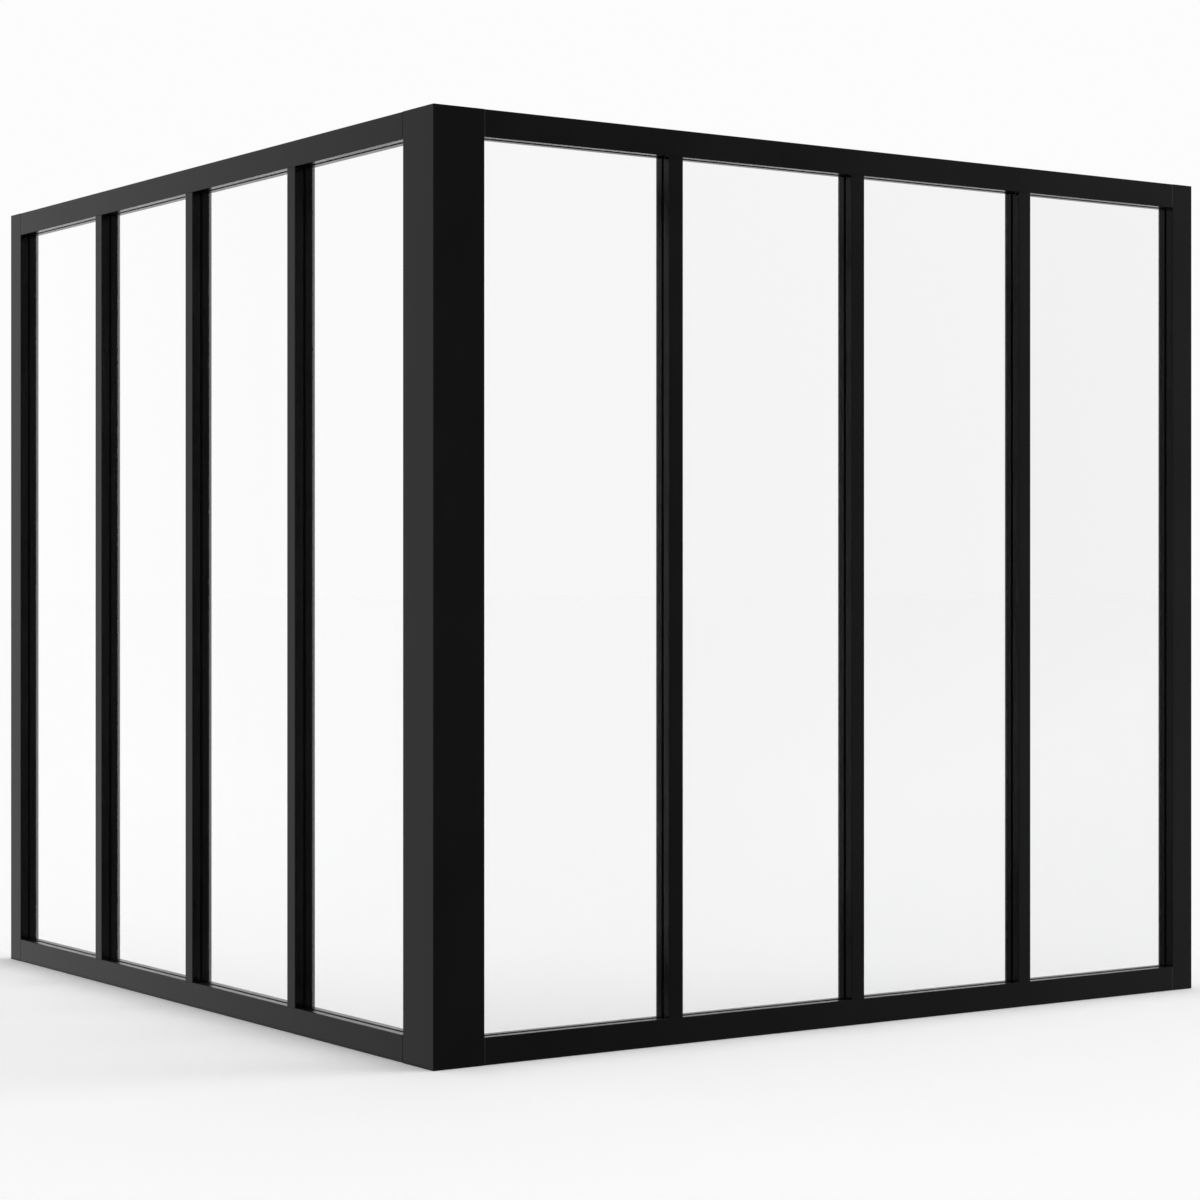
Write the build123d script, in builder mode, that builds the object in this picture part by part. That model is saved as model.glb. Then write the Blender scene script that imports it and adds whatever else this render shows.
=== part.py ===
from build123d import *
import os

# Corner interior window: two glazed walls that meet at a corner post, in millimetres.
# The outer edge of the corner post stands on the origin and the floor is at Z = 0. The left wall
# runs along +Y with its outer face on X = 0, and the right wall runs along +X with its outer face
# on Y = 0. The glazing beads are on the room side, behind the glass.

# Overall sizes
height = 1080
left_wall_length = 1190
right_wall_length = 1190
left_pane_count = 4
right_pane_count = 4

# Face of each member, and the depth of every section from its outer face
post_width = 67.5
jamb_width = 36
top_rail_height = 31.5
bottom_rail_height = 31.5
mullion_width = 20.5
frame_depth = 32

# Glazing rebate: the lip in front of the glass, and how far the rebate reaches behind the sight line
lip_depth = 11.5
rebate_reach = 11
glass_thickness = 4
gasket_thickness = 0.6
gasket_recess = 2.5

# Setting blocks that carry each pane, and the glass's clearance at the web of a mullion
block_height = 5
block_length = 60
block_gap = 0.4
web_gap = 1

# Walls of the extruded tubes and their small outer roundings
tube_wall = 1.6
front_edge_radius = 1
back_edge_radius = 0.8
inner_corner_radius = 2

# Ports inside the rails, for the screws that pull each rail against its post or jamb
port_bore_radius = 1.9
port_wall = 1.5
port_slot = 1.4

# Glazing beads and mullion caps, sloped on the room side, with a foot that snaps into a groove
bead_slope = 4
bead_wall = 1.3
foot_width = 1.8
foot_height = 1.2
foot_setback = 5
groove_depth = 1.6
snap_gap = 0.2
cope_gap = 0.15
bead_end_gap = 0.3

# Web of a mullion between two panes, and its head inside the cap
web_thickness = 4
head_overhang = 1.3
head_thickness = 1.8
head_gap = 0.3

# Plugs in the open ends of the post and the jambs
plug_depth = 8
plug_gap = 0.2

# Fixing holes in the outer walls, the wider holes opposite for the driver, and their margins
fixing_radius = 2.75
driver_radius = 4.5
driver_margin = 1
fixing_margin = 140

# Places in the depth that follow from the sizes above
glass_front = lip_depth + gasket_thickness
glass_back = glass_front + glass_thickness
bead_front = glass_back + gasket_thickness
groove_place = frame_depth - foot_setback
fixing_place = lip_depth + driver_radius + driver_margin

# Sight lines and rebate floors of the rails, and the glass's cover behind the sight lines
sill_line = bottom_rail_height
head_line = height - top_rail_height
sill_floor = sill_line - rebate_reach
head_floor = head_line + rebate_reach
frame_cover = rebate_reach - block_height
mullion_cover = (mullion_width - web_thickness) / 2 - web_gap

# The right wall is built as a left one and turned over the line where X equals Y
corner_line = Plane(origin=(0, 0, 0), x_dir=(0, 0, 1), z_dir=(1, -1, 0))
walls = {
    "left": (left_wall_length, left_pane_count),
    "right": (right_wall_length, right_pane_count),
}


def turn_to(side):
    """Turn the piece being built over to its own wall."""
    if side == "right":
        mirror(about=corner_line, mode=Mode.REPLACE)


def save(piece, name):
    piece.part.label = name
    export_step(piece.part, f"parts/{name}.step")


def span(low, high, front, back, mode=Mode.ADD):
    """A rectangle between two places across a section and two places in its depth."""
    with Locations(((low + high) / 2, (front + back) / 2)):
        Rectangle(high - low, back - front, mode=mode)


def block(x, y, z, mode=Mode.ADD):
    """A block between two places along each axis."""
    with Locations(((x[0] + x[1]) / 2, (y[0] + y[1]) / 2, (z[0] + z[1]) / 2)):
        Box(x[1] - x[0], y[1] - y[0], z[1] - z[0], mode=mode)


# Planes for the sections. The first direction of a section runs across the member and the second
# runs from the outer face to the room side.


def plane_along_wall(place, level, up):
    """For a section whose first direction is up, or down, and which runs along the wall."""
    turn = 1 if up else -1
    return Plane(origin=(0, place, level), x_dir=(0, 0, turn), z_dir=(0, turn, 0))


def plane_up_wall(place, level, to_post):
    """For a section whose first direction is to the post, or away, and which runs up, or down."""
    turn = 1 if to_post else -1
    return Plane(origin=(0, place, level), x_dir=(0, -turn, 0), z_dir=(0, 0, turn))


def panes_of(length, count):
    """The sight lines of each pane along a wall, and the edges of its glass."""
    clear = (length - post_width - jamb_width - (count - 1) * mullion_width) / count
    panes = []
    for i in range(count):
        start = post_width + i * (clear + mullion_width)
        end = start + clear
        near = start - (frame_cover if i == 0 else mullion_cover)
        far = end + (frame_cover if i == count - 1 else mullion_cover)
        panes.append(((start, end), (near, far)))
    return panes


# Sections of the frame


def chambers(first, last, hollow=Mode.SUBTRACT, wall=Mode.ADD):
    """The lip's chamber and the main chamber, less the wall that goes round the bead's groove."""
    rebate_floor = last - rebate_reach
    half = foot_width / 2 + snap_gap + tube_wall
    boss = rebate_floor - groove_depth - tube_wall
    span(first, last - tube_wall, tube_wall, lip_depth - tube_wall, hollow)
    span(first, rebate_floor - tube_wall, lip_depth, frame_depth - tube_wall, hollow)
    span(boss, rebate_floor, groove_place - half, groove_place + half, wall)


def snap_groove(rebate_floor):
    half = foot_width / 2 + snap_gap
    span(rebate_floor - groove_depth, rebate_floor, groove_place - half, groove_place + half, Mode.SUBTRACT)


def frame_section(width):
    """Tube of a jamb or rail from its outer edge to its sight line: lip, rebate and main chamber."""
    rebate_floor = width - rebate_reach
    with BuildLine() as outline:
        Polyline(
            (0, 0),
            (width, 0),
            (width, lip_depth),
            (rebate_floor, lip_depth),
            (rebate_floor, frame_depth),
            (0, frame_depth),
            close=True,
        )
    make_face(outline.line)
    fillet(vertices().group_by(Axis.Y)[0], front_edge_radius)
    fillet(vertices().group_by(Axis.Y)[-1].sort_by(Axis.X)[0], back_edge_radius)
    chambers(tube_wall, width)
    snap_groove(rebate_floor)


def screw_port(across, depth):
    """A round port in a corner of a chamber, slotted along its length."""
    with Locations((across, depth)):
        Circle(port_bore_radius + port_wall)
        Circle(port_bore_radius, mode=Mode.SUBTRACT)
        Rectangle(
            port_bore_radius + 2 * port_wall,
            port_slot,
            align=(Align.MIN, Align.CENTER),
            mode=Mode.SUBTRACT,
        )


def rail_section(width):
    """Tube of a rail: a jamb's section with a screw port in each outer corner."""
    port = port_bore_radius + port_wall
    frame_section(width)
    screw_port(port, port)
    screw_port(port, frame_depth - port)


def post_section():
    """Tube of the corner post in plan: a corner chamber and a leg with its rebate on each wall."""
    rebate_floor = post_width - rebate_reach
    with BuildLine() as outline:
        Polyline(
            (0, 0),
            (post_width, 0),
            (post_width, lip_depth),
            (rebate_floor, lip_depth),
            (rebate_floor, frame_depth),
            (frame_depth, frame_depth),
            close=True,
        )
    make_face(outline.line)
    span(tube_wall, frame_depth - tube_wall, tube_wall, frame_depth - tube_wall, Mode.SUBTRACT)
    chambers(frame_depth, post_width)
    snap_groove(rebate_floor)
    mirror(about=corner_line)
    for x, y in ((0, 0), (post_width, 0), (0, post_width)):
        fillet(vertices().sort_by_distance((x, y))[0], front_edge_radius)
    fillet(vertices().sort_by_distance((frame_depth, frame_depth))[0], inner_corner_radius)


# Sections of the mullions, caps and beads


def mullion_section():
    """Hollow front bar of a mullion, with its web and head."""
    half = mullion_width / 2
    web = web_thickness / 2
    head_front = bead_front + bead_wall + head_gap
    head_back = head_front + head_thickness
    span(-half, half, 0, lip_depth)
    fillet(vertices().group_by(Axis.Y)[0], front_edge_radius)
    span(tube_wall - half, half - tube_wall, tube_wall, lip_depth - tube_wall, Mode.SUBTRACT)
    span(-web, web, lip_depth - tube_wall, head_back)
    span(-web - head_overhang, web + head_overhang, head_front, head_back)


def cap_section():
    """Box over the room side of a mullion, slotted in front to snap over the web's head."""
    half = mullion_width / 2
    slot = web_thickness / 2 + snap_gap
    span(-half, half, bead_front, frame_depth)
    chamfer(vertices().group_by(Axis.Y)[-1], bead_slope)
    offset(amount=-bead_wall, mode=Mode.SUBTRACT)
    span(-slot, slot, bead_front, bead_front + bead_wall, Mode.SUBTRACT)


def bead_outline(gap=0.0):
    """A bead from its sight line back to the rebate's floor, sloped towards the room."""
    span(-gap, rebate_reach - snap_gap, bead_front - gap, frame_depth + gap)
    chamfer(vertices().group_by(Axis.X)[0].sort_by(Axis.Y)[-1], bead_slope + gap)


def bead_section():
    """Hollow bead with the foot that snaps into the frame's groove."""
    seat = rebate_reach - snap_gap
    half = foot_width / 2
    bead_outline()
    offset(amount=-bead_wall, mode=Mode.SUBTRACT)
    span(seat - bead_wall, seat + foot_height, groove_place - half, groove_place + half)


# Fixing holes and copes


def fixing_hole(face_plane, reach):
    """A screw hole through the outer wall, and the driver's hole through the rebate's floor."""
    with BuildSketch(face_plane) as screw:
        Circle(fixing_radius)
    extrude(screw.sketch, amount=2 * tube_wall, mode=Mode.SUBTRACT)
    with BuildSketch(face_plane.offset(reach - 2 * tube_wall)) as driver:
        Circle(driver_radius)
    extrude(driver.sketch, amount=2 * tube_wall, mode=Mode.SUBTRACT)


def cope_ends(start, end):
    """Shape both ends of an upright bead or cap to the rail beads that it stands on and under."""
    with BuildSketch(plane_along_wall(end, sill_line, up=False)) as sill_bead:
        bead_outline(cope_gap)
    extrude(sill_bead.sketch, amount=end - start, mode=Mode.SUBTRACT)
    with BuildSketch(plane_along_wall(start, head_line, up=True)) as head_bead:
        bead_outline(cope_gap)
    extrude(head_bead.sketch, amount=end - start, mode=Mode.SUBTRACT)


# Corner post and jambs


def make_post():
    with BuildPart() as post:
        with BuildSketch():
            post_section()
        extrude(amount=height)
    save(post, "corner_post")


def make_jamb(side, length):
    with BuildPart() as jamb:
        with BuildSketch(plane_up_wall(length, 0, to_post=True)):
            frame_section(jamb_width)
        extrude(amount=height)
        for level in (fixing_margin, height / 2, height - fixing_margin):
            face = Plane(origin=(fixing_place, length, level), z_dir=(0, -1, 0))
            fixing_hole(face, jamb_width - rebate_reach)
        turn_to(side)
    save(jamb, f"{side}_jamb")


# Rails between the post and a jamb. Their lips stop at the uprights' sight lines, and their
# chambers run on to the floors of the uprights' rebates.


def make_rail(side, length, name, rail_height, level, up):
    start = post_width - rebate_reach
    end = length - jamb_width + rebate_reach
    with BuildPart() as rail:
        with BuildSketch(plane_along_wall(start if up else end, level, up)):
            rail_section(rail_height)
        extrude(amount=end - start)
        for notch in ((start, post_width), (length - jamb_width, end)):
            block((0, lip_depth), notch, (0, height), Mode.SUBTRACT)
        for place in (post_width + fixing_margin, length - jamb_width - fixing_margin):
            face = Plane(origin=(fixing_place, place, level), z_dir=(0, 0, 1 if up else -1))
            fixing_hole(face, rail_height - rebate_reach)
        turn_to(side)
    save(rail, f"{side}_{name}")


# Mullions, with the web's ends set into the rails' rebates, and their caps


def make_mullion(side, number, place):
    half = mullion_width / 2
    across = (place - half, place + half)
    with BuildPart() as mullion:
        with BuildSketch(plane_up_wall(place, sill_floor, to_post=True)):
            mullion_section()
        extrude(amount=head_floor - sill_floor)
        for ends in ((sill_floor, sill_line), (head_line, head_floor)):
            block((0, lip_depth), across, ends, Mode.SUBTRACT)
            block((glass_back, frame_depth), across, ends, Mode.SUBTRACT)
        turn_to(side)
    save(mullion, f"{side}_mullion_{number}")


def make_cap(side, number, place):
    half = mullion_width / 2
    with BuildPart() as cap:
        with BuildSketch(plane_up_wall(place, sill_line - bead_slope, to_post=True)):
            cap_section()
        extrude(amount=head_line - sill_line + 2 * bead_slope)
        cope_ends(place - half, place + half)
        turn_to(side)
    save(cap, f"{side}_mullion_cap_{number}")


# Glazing beads


def make_rail_bead(side, length, name, line, up):
    start = post_width - rebate_reach + bead_end_gap
    end = length - jamb_width + rebate_reach - bead_end_gap
    with BuildPart() as bead:
        with BuildSketch(plane_along_wall(start if up else end, line, up)):
            bead_section()
        extrude(amount=end - start)
        turn_to(side)
    save(bead, f"{side}_{name}")


def make_upright_bead(side, name, line, to_post):
    low = sill_line - bead_slope
    high = head_line + bead_slope
    reach = rebate_reach + foot_height
    with BuildPart() as bead:
        with BuildSketch(plane_up_wall(line, low if to_post else high, to_post)):
            bead_section()
        extrude(amount=high - low)
        cope_ends(line - reach, line + reach)
        turn_to(side)
    save(bead, f"{side}_{name}")


# Glass, gaskets and setting blocks


def make_glass(side, number, edges):
    with BuildPart() as glass:
        block((glass_front, glass_back), edges, (sill_line - frame_cover, head_line + frame_cover))
        turn_to(side)
    save(glass, f"{side}_glass_{number}")


def make_gaskets(side, panes):
    """A loop in front of and a loop behind each pane, set back from the sight lines."""
    low = sill_line - frame_cover
    high = head_line + frame_cover
    with BuildPart() as gaskets:
        for (start, end), edges in panes:
            hole = (start - gasket_recess, end + gasket_recess)
            hole_up = (sill_line - gasket_recess, head_line + gasket_recess)
            for layer in ((lip_depth, glass_front), (glass_back, bead_front)):
                block(layer, edges, (low, high))
                block(layer, hole, hole_up, Mode.SUBTRACT)
        turn_to(side)
    save(gaskets, f"{side}_gaskets")


def make_setting_blocks(side, panes):
    depth = (lip_depth + block_gap, bead_front - block_gap)
    with BuildPart() as blocks:
        for _, (near, far) in panes:
            for share in (0.25, 0.75):
                place = near + share * (far - near)
                along = (place - block_length / 2, place + block_length / 2)
                block(depth, along, (sill_floor, sill_floor + block_height))
        turn_to(side)
    save(blocks, f"{side}_setting_blocks")


# Plugs, flush with the ends of the post and the jambs


def make_post_plugs(name, level):
    with BuildPart() as plugs:
        with BuildSketch(Plane.XY.offset(level)):
            span(tube_wall, frame_depth - tube_wall, tube_wall, frame_depth - tube_wall)
            chambers(frame_depth, post_width, hollow=Mode.ADD, wall=Mode.SUBTRACT)
            mirror(about=corner_line)
            offset(amount=-plug_gap, mode=Mode.REPLACE)
        extrude(amount=plug_depth)
    save(plugs, f"corner_post_{name}")


def make_jamb_plugs(side, length, name, level):
    with BuildPart() as plugs:
        with BuildSketch(plane_up_wall(length, level, to_post=True)):
            chambers(tube_wall, jamb_width, hollow=Mode.ADD, wall=Mode.SUBTRACT)
            offset(amount=-plug_gap, mode=Mode.REPLACE)
        extrude(amount=plug_depth)
        turn_to(side)
    save(plugs, f"{side}_jamb_{name}")


os.makedirs("parts", exist_ok=True)
make_post()
make_post_plugs("foot_plugs", 0)
make_post_plugs("top_plugs", height - plug_depth)

for side, (length, count) in walls.items():
    panes = panes_of(length, count)
    make_jamb(side, length)
    make_jamb_plugs(side, length, "foot_plugs", 0)
    make_jamb_plugs(side, length, "top_plugs", height - plug_depth)
    make_rail(side, length, "bottom_rail", bottom_rail_height, 0, up=True)
    make_rail(side, length, "top_rail", top_rail_height, height, up=False)
    make_rail_bead(side, length, "bottom_bead", sill_line, up=False)
    make_rail_bead(side, length, "top_bead", head_line, up=True)
    make_upright_bead(side, "post_bead", post_width, to_post=True)
    make_upright_bead(side, "jamb_bead", length - jamb_width, to_post=False)
    for number in range(1, count):
        place = panes[number - 1][0][1] + mullion_width / 2
        make_mullion(side, number, place)
        make_cap(side, number, place)
    for number, (_, edges) in enumerate(panes, start=1):
        make_glass(side, number, edges)
    make_gaskets(side, panes)
    make_setting_blocks(side, panes)
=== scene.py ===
import math

import bpy
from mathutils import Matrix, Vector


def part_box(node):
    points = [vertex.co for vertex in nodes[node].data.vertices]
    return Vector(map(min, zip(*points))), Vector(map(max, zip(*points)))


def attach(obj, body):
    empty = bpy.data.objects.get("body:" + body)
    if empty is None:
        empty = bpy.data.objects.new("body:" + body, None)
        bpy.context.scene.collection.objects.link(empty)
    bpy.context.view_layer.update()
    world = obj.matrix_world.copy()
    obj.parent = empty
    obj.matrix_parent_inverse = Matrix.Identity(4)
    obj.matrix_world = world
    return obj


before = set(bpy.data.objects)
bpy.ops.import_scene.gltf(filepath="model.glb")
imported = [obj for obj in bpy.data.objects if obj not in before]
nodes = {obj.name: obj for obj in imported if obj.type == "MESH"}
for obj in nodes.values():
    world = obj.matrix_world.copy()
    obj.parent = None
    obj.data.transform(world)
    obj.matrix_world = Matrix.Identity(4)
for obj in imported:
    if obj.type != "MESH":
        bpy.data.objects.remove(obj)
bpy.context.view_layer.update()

scene = bpy.context.scene
white = (1.0, 1.0, 1.0, 1.0)
axesOf = {"left": (1, 0), "right": (0, 1)}  # the axis along each wall and the one through it
print("frame loaded with", len(nodes), "CAD nodes")


# Node helpers

def place(tree, kind, inputs=None, **settings):
    node = tree.nodes.new(kind)
    for name, value in settings.items():
        setattr(node, name, value)
    for name, value in (inputs or {}).items():
        if isinstance(value, bpy.types.NodeSocket):
            tree.links.new(value, node.inputs[name])
        else:
            node.inputs[name].default_value = value
    return node


def mathNode(tree, operation, first, second=0.0, clamp=False):
    node = place(tree, "ShaderNodeMath", {0: first, 1: second},
                 operation=operation, use_clamp=clamp)
    return node.outputs[0]


def dotWith(tree, vector, direction):
    node = place(tree, "ShaderNodeVectorMath", {0: vector, 1: direction},
                 operation="DOT_PRODUCT")
    return node.outputs["Value"]


def remap(tree, value, span, low=0.0, high=1.0):
    node = place(tree, "ShaderNodeMapRange",
                 {0: value, 1: span[0], 2: span[1], 3: low, 4: high})
    return node.outputs[0]


def noise(tree, vector, scale, detail, roughness=0.5):
    node = place(tree, "ShaderNodeTexNoise",
                 {"Vector": vector, "Scale": scale, "Detail": detail, "Roughness": roughness})
    return node.outputs["Fac"]


def blend(tree, factor, first, second):
    node = place(tree, "ShaderNodeMix", {0: factor, 2: first, 3: second}, data_type="FLOAT")
    return node.outputs[0]


def mixColour(tree, factor, first, second):
    node = place(tree, "ShaderNodeMix", {0: factor, 6: first, 7: second}, data_type="RGBA")
    return node.outputs[2]


def mixShaders(tree, factor, first, second):
    node = place(tree, "ShaderNodeMixShader",
                 {0: factor, 1: first.outputs[0], 2: second.outputs[0]})
    return node


def splitVector(tree, vector):
    return place(tree, "ShaderNodeSeparateXYZ", {0: vector}).outputs


def bumpUp(tree, height, distance, under=None):
    inputs = {"Height": height, "Distance": distance}
    if under is not None:
        inputs["Normal"] = under
    return place(tree, "ShaderNodeBump", inputs).outputs[0]


def newMaterial(name, offset=(0.0, 0.0, 0.0)):
    material = bpy.data.materials.new(name + "Finish")
    material.use_nodes = True
    tree = material.node_tree
    tree.nodes.clear()
    coordinates = place(tree, "ShaderNodeTexCoord").outputs["Object"]
    moved = place(tree, "ShaderNodeMapping", {"Vector": coordinates, "Location": offset})
    return material, tree, moved.outputs[0]


def showSolid(tree, colour, rough, normal, specular):
    shader = place(tree, "ShaderNodeBsdfPrincipled", {
        "Base Color": colour, "Roughness": rough, "Normal": normal,
        "Specular IOR Level": specular})
    place(tree, "ShaderNodeOutputMaterial", {"Surface": shader.outputs[0]})


# Satin black powder coat on the aluminium sections: a soft orange peel, a fine grain,
# slow changes of shade, edges that handling has rubbed a little, and a trace of dust on
# the faces that look up. The rails' cut ends are broken by hand, which leaves them rough
# with a hairline that is partly bare metal and partly a painted highlight, and draws the
# joints with the post and the jambs.

coat = {
    "colour": (0.0007, 0.0007, 0.0008, 1.0),
    "paleColour": (0.0015, 0.0015, 0.0016, 1.0),
    "specular": 0.14,
    "roughness": 0.21,
    "roughnessRange": 0.04,
    "roughnessSpan": (0.3, 0.7),
    "cloudScale": 7.0,              # slow changes of shade and gloss
    "cloudDetail": 3.0,
    "cloudSpan": (0.35, 0.65),
    "patchScale": 60.0,             # where wear and dust gather
    "patchDetail": 3.0,
    "peelScale": 420.0,
    "peelDetail": 1.5,
    "peelHeight": 0.000004,
    "grainScale": 2400.0,
    "grainDetail": 2.0,
    "grainHeight": 0.000002,
    "wearColour": (0.010, 0.010, 0.0105, 1.0),
    "wearWidth": 0.0005,
    "wearSamples": 6,
    "wearTurn": (0.03, 0.25),       # how sharply an edge turns before it shows wear
    "wearPatch": (0.42, 0.7),
    "wearAmount": (0.05, 0.15),
    "dustColour": (0.045, 0.044, 0.042, 1.0),
    "dustFacing": (0.6, 0.95),      # how far up a face looks
    "dustPatch": (0.35, 0.7),
    "dustAmount": (0.02, 0.10),
    "dustRoughness": 0.5,
    # the cut ends' lighter hairline: partly bare metal, partly a painted highlight
    "endMetalAndHighlight": (0.045, 0.045, 0.046, 1.0),
    "endRoughness": 0.75,
    "endWidth": 0.0012,
    "lipSlack": 0.0001,             # keeps the back of the lip with its front
}


def edgeMask(tree, look):
    rounded = place(tree, "ShaderNodeBevel", {"Radius": look["wearWidth"]},
                    samples=look["wearSamples"]).outputs[0]
    flat = place(tree, "ShaderNodeNewGeometry").outputs["Normal"]
    turn = mathNode(tree, "SUBTRACT", 1.0, dotWith(tree, rounded, flat))
    return remap(tree, turn, look["wearTurn"])


# A rail's lip stops at the sight lines of the post and the jamb, and the rest of it runs
# on behind them to its own ends.

def endMask(tree, name, look):
    side = name.split("_")[0]
    along, across = axesOf[side]
    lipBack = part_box(side + "_gaskets")[0][across] + look["lipSlack"]
    parts = splitVector(tree, place(tree, "ShaderNodeTexCoord").outputs["Object"])
    behind = mathNode(tree, "GREATER_THAN", parts[across], lipBack)
    low = blend(tree, behind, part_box("corner_post")[1][along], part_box(name)[0][along])
    high = blend(tree, behind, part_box(side + "_jamb")[0][along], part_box(name)[1][along])
    fromLow = mathNode(tree, "SUBTRACT", parts[along], low)
    fromHigh = mathNode(tree, "SUBTRACT", high, parts[along])
    nearest = mathNode(tree, "MINIMUM", fromLow, fromHigh)
    return remap(tree, nearest, (0.0, look["endWidth"]), 1.0, 0.0)


def cutEnds(tree, name, look, colour, rough, bumps):
    end = endMask(tree, name, look)
    inner = mathNode(tree, "MULTIPLY", end, end)
    # the lighter hairline at a cut end is partly bare metal and partly a painted highlight
    colour = mixColour(tree, inner, colour, look["endMetalAndHighlight"])
    rough = blend(tree, end, rough, look["endRoughness"])
    fallen = mathNode(tree, "SUBTRACT", 0.0, inner)
    return colour, rough, bumpUp(tree, fallen, look["endWidth"] / 2, bumps)


def powderCoat(name, look, offset):
    material, tree, where = newMaterial(name, offset)
    cloud = noise(tree, where, look["cloudScale"], look["cloudDetail"])
    patch = noise(tree, where, look["patchScale"], look["patchDetail"])
    peel = noise(tree, where, look["peelScale"], look["peelDetail"])
    grain = noise(tree, where, look["grainScale"], look["grainDetail"])

    shade = remap(tree, cloud, look["cloudSpan"])
    colour = mixColour(tree, shade, look["colour"], look["paleColour"])
    worn = mathNode(tree, "MULTIPLY", edgeMask(tree, look),
                    remap(tree, patch, look["wearPatch"], *look["wearAmount"]))
    colour = mixColour(tree, worn, colour, look["wearColour"])
    upward = splitVector(tree, place(tree, "ShaderNodeNewGeometry").outputs["Normal"])["Z"]
    dust = mathNode(tree, "MULTIPLY", remap(tree, upward, look["dustFacing"]),
                    remap(tree, patch, look["dustPatch"], *look["dustAmount"]))
    colour = mixColour(tree, dust, colour, look["dustColour"])

    spread = look["roughnessRange"]
    slow = remap(tree, cloud, look["roughnessSpan"], -spread, spread)
    fine = remap(tree, grain, look["roughnessSpan"], -spread / 2, spread / 2)
    rough = mathNode(tree, "ADD", mathNode(tree, "ADD", slow, fine), look["roughness"])
    dulled = mathNode(tree, "MULTIPLY", dust, look["dustRoughness"])
    rough = mathNode(tree, "ADD", rough, dulled, clamp=True)

    bumps = bumpUp(tree, peel, look["peelHeight"])
    bumps = bumpUp(tree, grain, look["grainHeight"], bumps)
    if "_rail" in name:
        colour, rough, bumps = cutEnds(tree, name, look, colour, rough, bumps)
    showSolid(tree, colour, rough, bumps, look["specular"])
    return material


# Float glass: nearly colourless, with a trace of grey green and a breath of haze. The
# right wall's panes carry painted shade: each is a step greyer, one by one, away from the
# corner.

glass = {
    "tint": (0.996, 0.999, 0.998),
    "ior": 1.5,
    "shadowTint": (0.99, 0.99, 0.99, 1.0),
    "paintedShadeStep": 0.021,
    "haze": 0.008,
    "hazeScale": 5.0,
    "hazeDetail": 4.0,
    "hazeSpan": (0.45, 0.75),
}


def floatGlass(name, look, offset):
    material, tree, where = newMaterial(name, offset)
    fromCorner = int(name.split("_")[2]) - 1
    # painted shade: each right-wall pane further from the corner is tinted a step darker
    paintedShadeFactor = 1.0 - look["paintedShadeStep"] * fromCorner if name.startswith("right") else 1.0
    tint = [paintedShadeFactor * part for part in look["tint"]] + [1.0]
    smear = noise(tree, where, look["hazeScale"], look["hazeDetail"])
    rough = remap(tree, smear, look["hazeSpan"], 0.0, look["haze"])
    shader = place(tree, "ShaderNodeBsdfPrincipled", {
        "Base Color": tint, "Roughness": rough, "IOR": look["ior"],
        "Transmission Weight": 1.0})
    clear = place(tree, "ShaderNodeBsdfTransparent", {"Color": look["shadowTint"]})
    shadowRay = place(tree, "ShaderNodeLightPath").outputs["Is Shadow Ray"]
    both = mixShaders(tree, shadowRay, shader, clear)
    place(tree, "ShaderNodeOutputMaterial", {"Surface": both.outputs[0]})
    return material


# Moulded black rubber and plastic, which sit in the grooves and the ends of the sections.

mouldedSkin = {
    "cloudScale": 40.0, "cloudDetail": 3.0, "cloudSpan": (0.4, 0.7),
    "textureDetail": 3.0, "textureRoughness": 0.6, "textureSpan": (0.3, 0.7),
    "roughnessRange": 0.08,
}
rubber = {
    **mouldedSkin,
    "colour": (0.0006, 0.0006, 0.0006, 1.0), "paleColour": (0.0016, 0.0016, 0.0016, 1.0),
    "roughness": 0.62, "specular": 0.05, "textureScale": 1500.0, "textureHeight": 0.000006,
}
plugPlastic = {
    **mouldedSkin,
    "colour": (0.008, 0.008, 0.008, 1.0), "paleColour": (0.014, 0.014, 0.014, 1.0),
    "roughness": 0.5, "specular": 0.35, "textureScale": 1900.0, "textureHeight": 0.000008,
}
blockPlastic = {
    **mouldedSkin,
    "colour": (0.018, 0.018, 0.019, 1.0), "paleColour": (0.030, 0.030, 0.032, 1.0),
    "roughness": 0.55, "specular": 0.35, "textureScale": 1200.0, "textureHeight": 0.000008,
}


def moulded(name, look, offset):
    material, tree, where = newMaterial(name, offset)
    cloud = noise(tree, where, look["cloudScale"], look["cloudDetail"])
    texture = noise(tree, where, look["textureScale"], look["textureDetail"],
                    look["textureRoughness"])
    shade = remap(tree, cloud, look["cloudSpan"])
    colour = mixColour(tree, shade, look["colour"], look["paleColour"])
    spread = look["roughnessRange"]
    rough = remap(tree, texture, look["textureSpan"],
                  look["roughness"] - spread, look["roughness"] + spread)
    bumps = bumpUp(tree, texture, look["textureHeight"])
    showSolid(tree, colour, rough, bumps, look["specular"])
    return material


def finishOf(name):
    if "glass" in name:
        return floatGlass, glass
    if "gasket" in name:
        return moulded, rubber
    if "plugs" in name:
        return moulded, plugPlastic
    if "blocks" in name:
        return moulded, blockPlastic
    return powderCoat, coat


patternStep = (0.37, 0.23, 0.11)  # moves the patterns on from node to node

for index, name in enumerate(sorted(nodes)):
    make, look = finishOf(name)
    finish = make(name, look, [step * index for step in patternStep])
    for materialSlot in nodes[name].material_slots:
        materialSlot.material = finish
print("finishes on", len(nodes), "CAD nodes")


# Rubber seals: on both sides of each pane, the groove beside the glass is closed by a thin
# strip with a rounded nose, mitred at the corners, that stands just proud of the frame.

seals = {
    "nose": 0.0005,          # how far they stand proud of the sight lines
    "root": 0.0025,          # how far they reach back into the groove
    "sectionSteps": 12,
    "patternOffset": (0.2, 0.4, 0.1),
}


def baysOf(side):
    along = axesOf[side][0]
    edges = [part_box("corner_post")[1][along]]
    for number in (1, 2, 3):
        low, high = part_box(f"{side}_mullion_{number}")
        edges += [low[along], high[along]]
    edges.append(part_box(f"{side}_jamb")[0][along])
    return list(zip(edges[0::2], edges[1::2]))


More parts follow.
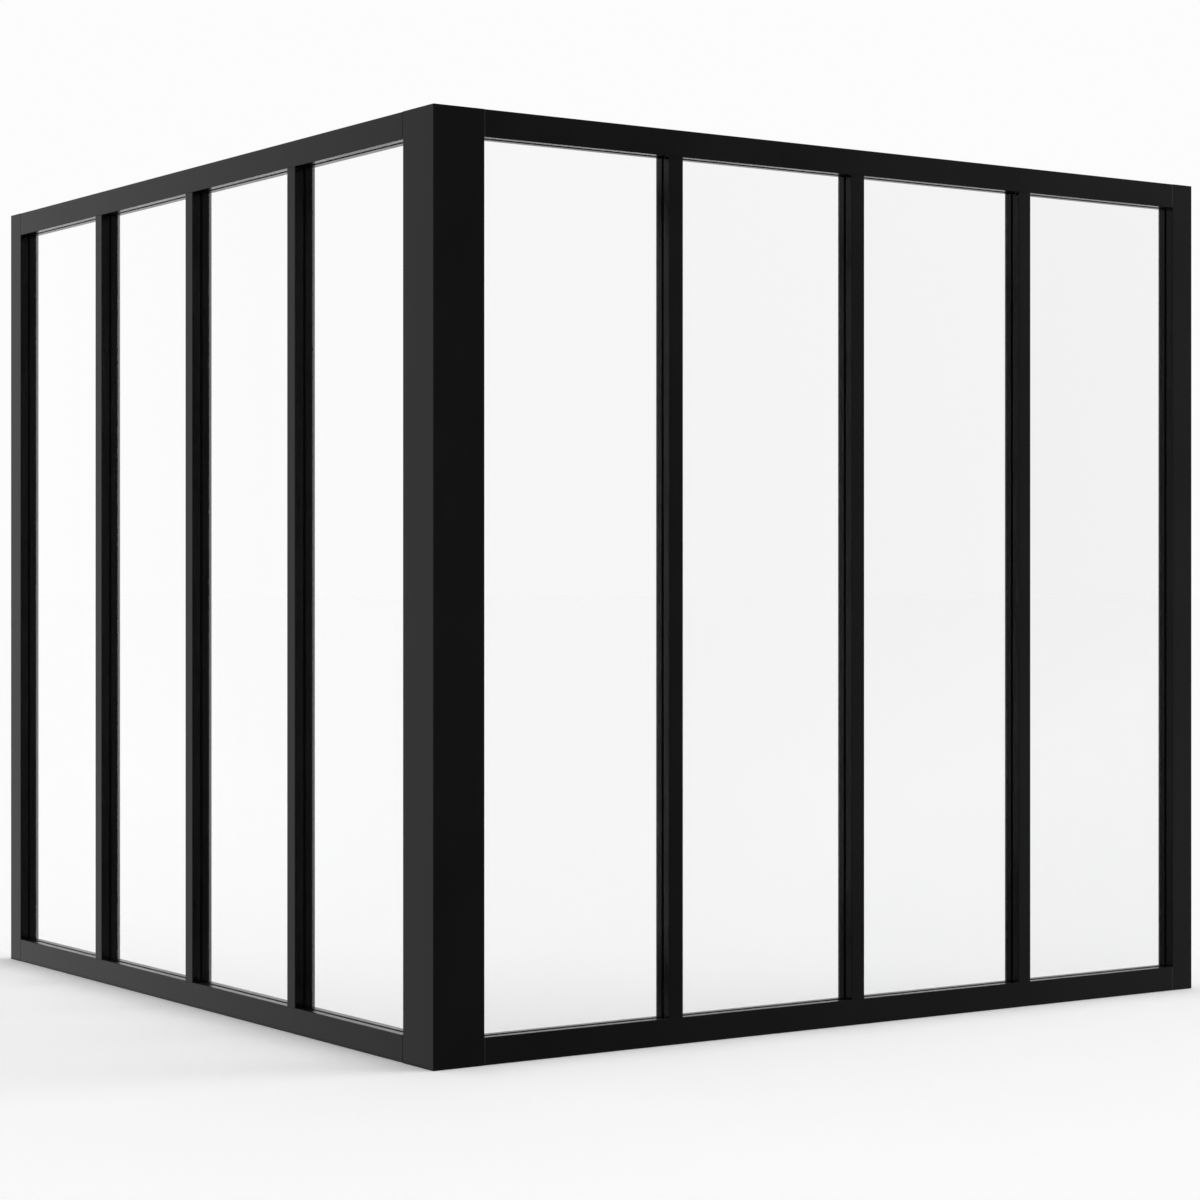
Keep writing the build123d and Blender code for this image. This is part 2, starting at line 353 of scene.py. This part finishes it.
def groovesOf(side):
    across = axesOf[side][1]
    gasketFront, gasketBack = (corner[across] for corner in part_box(f"{side}_gaskets"))
    glassFront, glassBack = (corner[across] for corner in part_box(f"{side}_glass_1"))
    return (gasketFront, glassFront), (glassBack, gasketBack)


def sealOutline(side, setBack):
    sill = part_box(f"{side}_bottom_rail")[1].z - setBack
    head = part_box(f"{side}_top_rail")[0].z + setBack
    points, edges = [], []
    for start, end in baysOf(side):
        low, high = start - setBack, end + setBack
        for front, back in groovesOf(side):
            depth = (front + back) / 2
            first = len(points)
            for along, height in ((low, sill), (high, sill), (high, head), (low, head)):
                inPlan = (depth, along) if side == "left" else (along, depth)
                points.append((*inPlan, height))
            edges += [(first + corner, first + (corner + 1) % 4) for corner in range(4)]
    outline = bpy.data.meshes.new(f"{side}_seal_strips")
    outline.from_pydata(points, edges, [])
    return outline


def sealTree(material):
    tree = bpy.data.node_groups.new("sealStrip", "GeometryNodeTree")
    face = tree.interface
    face.new_socket("Geometry", in_out="INPUT", socket_type="NodeSocketGeometry")
    for label in ("Half Thickness", "Half Depth"):
        face.new_socket(label, in_out="INPUT", socket_type="NodeSocketFloat")
    face.new_socket("Section Steps", in_out="INPUT", socket_type="NodeSocketInt")
    face.new_socket("Geometry", in_out="OUTPUT", socket_type="NodeSocketGeometry")
    given = place(tree, "NodeGroupInput").outputs
    path = place(tree, "GeometryNodeMeshToCurve", {"Mesh": given["Geometry"]})
    # a mitred corner's section stands at 45 degrees, so it is longer by the root of two
    mitred = mathNode(tree, "MULTIPLY", given["Half Depth"], math.sqrt(2.0))
    size = place(tree, "ShaderNodeCombineXYZ",
                 {"X": given["Half Thickness"], "Y": mitred, "Z": 1.0})
    circle = place(tree, "GeometryNodeCurvePrimitiveCircle",
                   {"Radius": 1.0, "Resolution": given["Section Steps"]})
    section = place(tree, "GeometryNodeTransform",
                    {"Geometry": circle.outputs[0], "Scale": size.outputs[0]})
    swept = place(tree, "GeometryNodeCurveToMesh",
                  {"Curve": path.outputs[0], "Profile Curve": section.outputs[0]})
    real = place(tree, "GeometryNodeRealizeInstances", {"Geometry": swept.outputs[0]})
    dressed = place(tree, "GeometryNodeSetMaterial",
                    {"Geometry": real.outputs[0], "Material": material})
    place(tree, "NodeGroupOutput", {"Geometry": dressed.outputs[0]})
    return tree


def applyTree(piece, tree, values):
    modifier = piece.modifiers.new("shape", "NODES")
    modifier.node_group = tree
    for item in tree.interface.items_tree:
        if item.in_out == "INPUT" and item.name in values:
            modifier[item.identifier] = values[item.name]
    graph = bpy.context.evaluated_depsgraph_get()
    made = bpy.data.meshes.new_from_object(piece.evaluated_get(graph))
    piece.modifiers.remove(modifier)
    piece.data = made


for side in axesOf:
    setBack = (seals["root"] - seals["nose"]) / 2
    front, back = groovesOf(side)[0]
    piece = bpy.data.objects.new(f"{side}_seal_strips", sealOutline(side, setBack))
    scene.collection.objects.link(piece)
    sealFinish = moulded(f"{side}Seal", rubber, seals["patternOffset"])
    applyTree(piece, sealTree(sealFinish), {
        "Half Thickness": (back - front) / 2,
        "Half Depth": (seals["root"] + seals["nose"]) / 2,
        "Section Steps": seals["sectionSteps"]})
    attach(piece, "root")
    print(piece.name, len(piece.data.polygons), "faces")


# Background and light. The studio is white all round, and its brightest soft light stands
# low beyond the right wall's end. What gloss sees of it is darker in front of the right
# wall. The softbox's place and the two sides are unit vectors that point out from the object.

studio = {
    "backdrop": 0.974,              # what shows behind the object and through its glass
    "skyLevel": 0.69,               # soft light from all round
    "softboxLevel": 5.4,
    "softboxPlace": (0.873, -0.407, 0.270),
    "softboxTightness": 15.0,
    "mirrorLight": 1.0,             # what gloss sees behind the object
    "mirrorLevel": 0.84,            # beside it
    "mirrorShade": 0.39,            # and in front of the right wall
    "lightSide": (0.301, 0.954, 0.0),
    "lightSpan": (0.6625, 0.7618),
    "shadeSide": (0.3746, -0.9272, 0.0),
    "shadeSpan": (0.895, 0.965),
}


def rayKinds(tree):
    rays = place(tree, "ShaderNodeLightPath").outputs
    seen = mathNode(tree, "MAXIMUM", rays["Is Camera Ray"], rays["Is Transmission Ray"])
    seen = mathNode(tree, "MAXIMUM", seen, rays["Is Glossy Ray"])
    # a view through glass counts as glossy too, but the depth counts reflections alone
    reflected = mathNode(tree, "MINIMUM", rays["Glossy Depth"], 1.0)
    return seen, reflected


def mirroredStudio(tree, direction):
    light = remap(tree, dotWith(tree, direction, studio["lightSide"]), studio["lightSpan"],
                  studio["mirrorLevel"], studio["mirrorLight"])
    shade = remap(tree, dotWith(tree, direction, studio["shadeSide"]), studio["shadeSpan"],
                  1.0, studio["mirrorShade"] / studio["mirrorLevel"])
    return mathNode(tree, "MULTIPLY", light, shade)


def studioWorld():
    world = bpy.data.worlds.new("studio")
    world.use_nodes = True
    tree = world.node_tree
    tree.nodes.clear()
    seen, reflected = rayKinds(tree)
    direction = place(tree, "ShaderNodeTexCoord").outputs["Generated"]
    facing = mathNode(tree, "MAXIMUM", dotWith(tree, direction, studio["softboxPlace"]), 0.0)
    lobe = mathNode(tree, "POWER", facing, studio["softboxTightness"])
    lobe = mathNode(tree, "MULTIPLY", lobe, studio["softboxLevel"])
    level = mathNode(tree, "ADD", lobe, studio["skyLevel"])
    soft = place(tree, "ShaderNodeBackground", {"Color": white, "Strength": level})
    gloss = place(tree, "ShaderNodeBackground",
                  {"Color": white, "Strength": mirroredStudio(tree, direction)})
    backdrop = place(tree, "ShaderNodeBackground",
                     {"Color": white, "Strength": studio["backdrop"]})
    direct = mixShaders(tree, seen, soft, backdrop)
    mixed = mixShaders(tree, reflected, direct, gloss)
    place(tree, "ShaderNodeOutputWorld", {"Surface": mixed.outputs[0]})
    return world


scene.world = studioWorld()
print("studio light in place")


# Floor: pale, lifted to the backdrop's shade for the eye by a glow, and darker close to the
# object, where that glow is lowered as painted shade and as a painted contact shadow. Gloss
# sees a plain image of it instead, a painted reflection, which carries on what the studio
# shows above it and is dark between the two walls.

floorLook = {
    "colour": (0.86, 0.86, 0.86, 1.0),
    "liftNear": 0.202,              # added near the object
    "liftFar": 0.215,               # added further out
    "liftMiddle": (0.10, 0.30, 0.0),
    "liftSpan": (0.35, 1.0),
    # the contact shadow is painted into the floor's glow
    "contactReach": 0.085,          # how far out the contact shadow goes
    "contactShare": 0.9,            # how much of the lift it takes away
    "contactSamples": 8,
    "leftPath": (1.8, 1.0, 0.0),    # where along a wall a place on the floor is mirrored
    "rightPath": (1.0, 0.85, 0.0),
    "wallSpan": (0.1, 1.2),
    "shadeOfEnd": 0.72,             # the image in front of the right wall's end
    "insideLevel": 0.42,            # and between the two walls
    "seam": 0.01,                   # how softly the parts of the image meet
    "farSpan": (1.5, 5.0),          # where it gives way to the studio
    "reach": 150.0,
    "drop": 0.0003,                 # how far the floor lies under the object
}


def mirroredFloor(tree, where):
    along = dotWith(tree, where, floorLook["leftPath"])
    behind = remap(tree, along, floorLook["wallSpan"],
                   studio["mirrorLevel"], studio["mirrorLight"])
    along = dotWith(tree, where, floorLook["rightPath"])
    before = remap(tree, along, floorLook["wallSpan"],
                   studio["mirrorShade"], floorLook["shadeOfEnd"])
    parts = splitVector(tree, where)
    seamSpan = (-floorLook["seam"], 0.0)
    beyondRight = remap(tree, parts["Y"], seamSpan)
    beyondLeft = remap(tree, parts["X"], seamSpan)
    inside = mathNode(tree, "MULTIPLY", beyondRight, beyondLeft)
    near = blend(tree, beyondRight, before, behind)
    near = blend(tree, inside, near, floorLook["insideLevel"])
    away = place(tree, "ShaderNodeVectorMath", {0: where}, operation="LENGTH")
    unit = place(tree, "ShaderNodeVectorMath", {0: where}, operation="NORMALIZE")
    far = remap(tree, away.outputs["Value"], floorLook["farSpan"])
    return blend(tree, far, near, mirroredStudio(tree, unit.outputs[0]))


def paleFloor():
    material, tree, where = newMaterial("paleFloor")
    seen, reflected = rayKinds(tree)
    # painted shade: the glow is lower close to the object
    away = place(tree, "ShaderNodeVectorMath", {0: where, 1: floorLook["liftMiddle"]},
                 operation="DISTANCE")
    lift = remap(tree, away.outputs["Value"], floorLook["liftSpan"],
                 floorLook["liftNear"], floorLook["liftFar"])
    # painted contact shadow: the glow is lowered where the Ambient Occlusion node finds the
    # object near
    openness = place(tree, "ShaderNodeAmbientOcclusion",
                     {"Distance": floorLook["contactReach"]},
                     samples=floorLook["contactSamples"])
    kept = remap(tree, openness.outputs["AO"], (0.0, 1.0),
                 1.0 - floorLook["contactShare"], 1.0)
    lift = mathNode(tree, "MULTIPLY", lift, kept)
    matte = place(tree, "ShaderNodeBsdfDiffuse", {"Color": floorLook["colour"]})
    glow = place(tree, "ShaderNodeEmission",
                 {"Color": white, "Strength": mathNode(tree, "MULTIPLY", seen, lift)})
    pale = place(tree, "ShaderNodeAddShader", {0: matte.outputs[0], 1: glow.outputs[0]})
    # painted reflection: what gloss sees of the floor is a glow, darker in front of the right
    # wall and between the walls
    image = place(tree, "ShaderNodeEmission",
                  {"Color": white, "Strength": mirroredFloor(tree, where)})
    both = mixShaders(tree, reflected, pale, image)
    place(tree, "ShaderNodeOutputMaterial", {"Surface": both.outputs[0]})
    return material


reach = floorLook["reach"]
floorCorners = [(x * reach, y * reach, -floorLook["drop"])
                for x, y in ((-1, -1), (1, -1), (1, 1), (-1, 1))]
floorMesh = bpy.data.meshes.new("studioFloor")
floorMesh.from_pydata(floorCorners, [], [(0, 1, 2, 3)])
floorMesh.materials.append(paleFloor())
floor = bpy.data.objects.new("studioFloor", floorMesh)
scene.collection.objects.link(floor)
print("floor in place")


# Camera: level, at about half the object's height, in front of the corner

view = {
    "place": (-1.6737, -2.7814, 0.5399),
    "tilt": 90.0,                   # degrees, level at 90
    "turn": 34.32,                  # degrees from the left wall's line to the right wall's
    "lens": 87.13,
    "sensor": 36.0,
    "shift": -0.01057,
    "farClip": 400.0,
}

cameraData = bpy.data.cameras.new("camera")
cameraData.sensor_width = view["sensor"]
cameraData.lens = view["lens"]
cameraData.shift_y = view["shift"]
cameraData.clip_end = view["farClip"]
camera = bpy.data.objects.new("camera", cameraData)
camera.location = view["place"]
camera.rotation_euler = (math.radians(view["tilt"]), 0.0, -math.radians(view["turn"]))
scene.collection.objects.link(camera)
scene.camera = camera
scene.view_settings.view_transform = "Standard"
print("camera in place")
